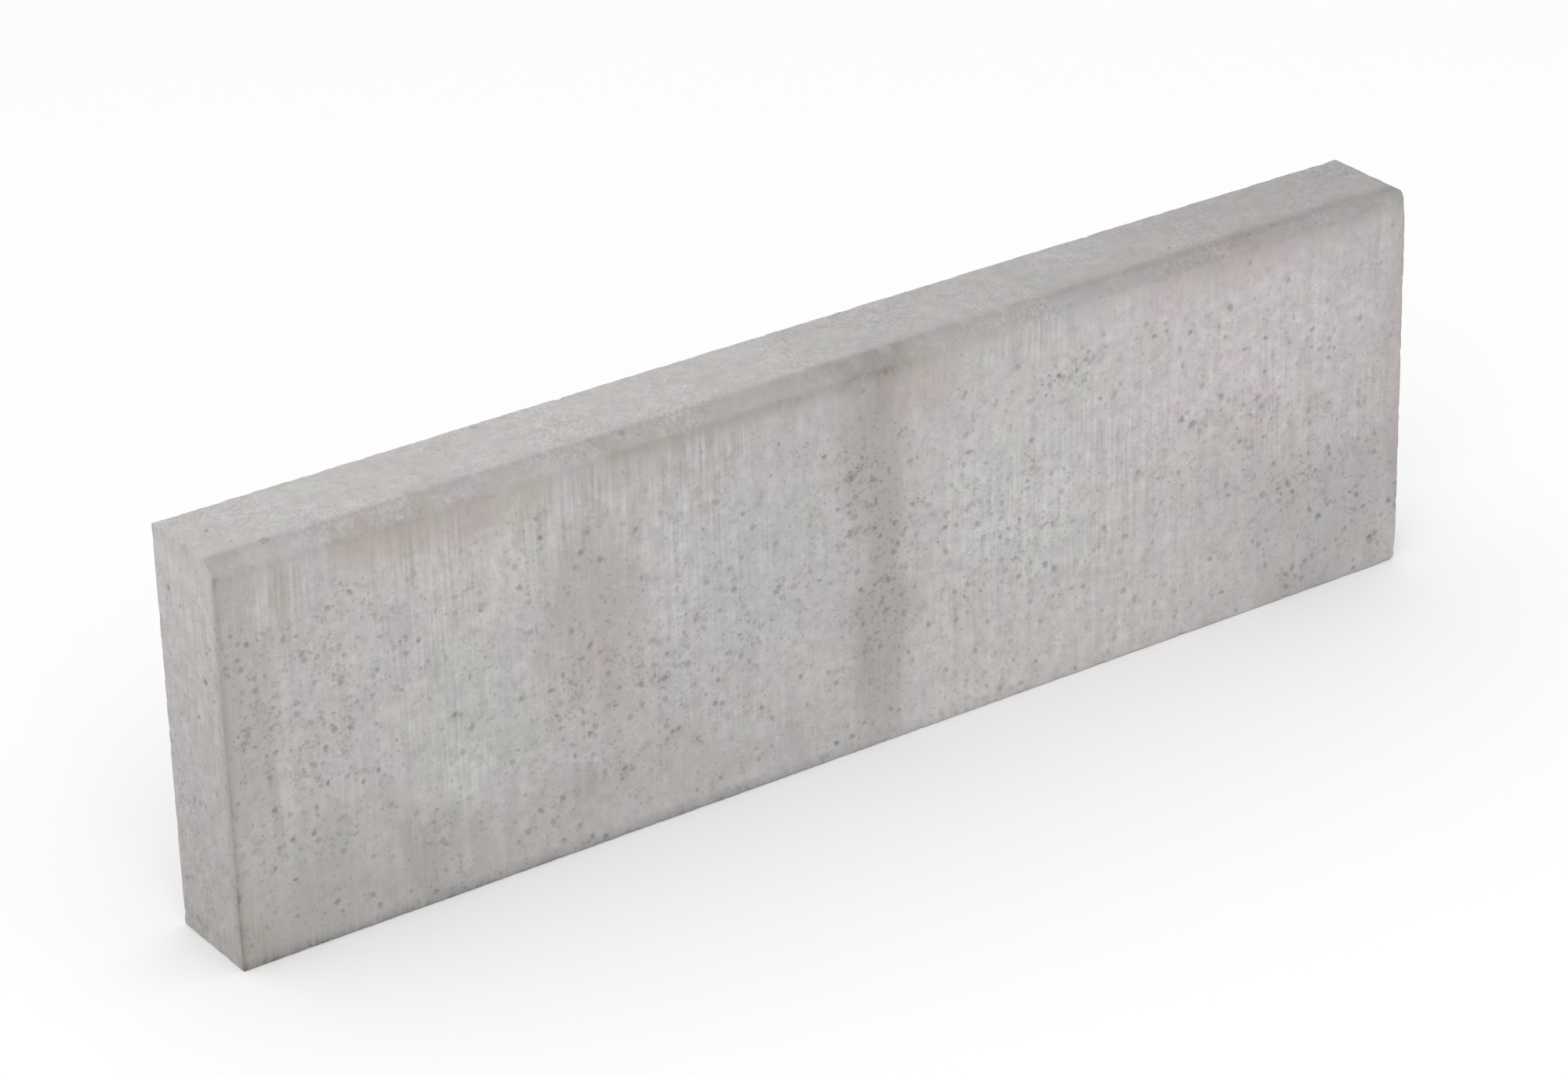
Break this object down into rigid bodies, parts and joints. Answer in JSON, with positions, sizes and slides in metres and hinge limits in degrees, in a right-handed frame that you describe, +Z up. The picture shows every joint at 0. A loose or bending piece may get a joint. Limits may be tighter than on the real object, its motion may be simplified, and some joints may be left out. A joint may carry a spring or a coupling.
{
  "type": "precast concrete kerb slab",
  "caption": "Straight precast concrete edging slab, set on edge, with one chamfered arris along its head.",
  "frame": {"origin": "middle of the bedding face, the flat underside that the slab stands on", "axes": "+X along the kerb, +Y through its thickness from the chamfered front to the plain back, +Z up"},
  "size_m": [1, 0.08, 0.3],
  "materials": {
    "base_mix": "matte",
    "face_mix": "matte"
  },
  "bodies": {
    "root": {"backing_concrete": "base_mix", "facing_layer": "face_mix"}
  },
  "joints": []
}
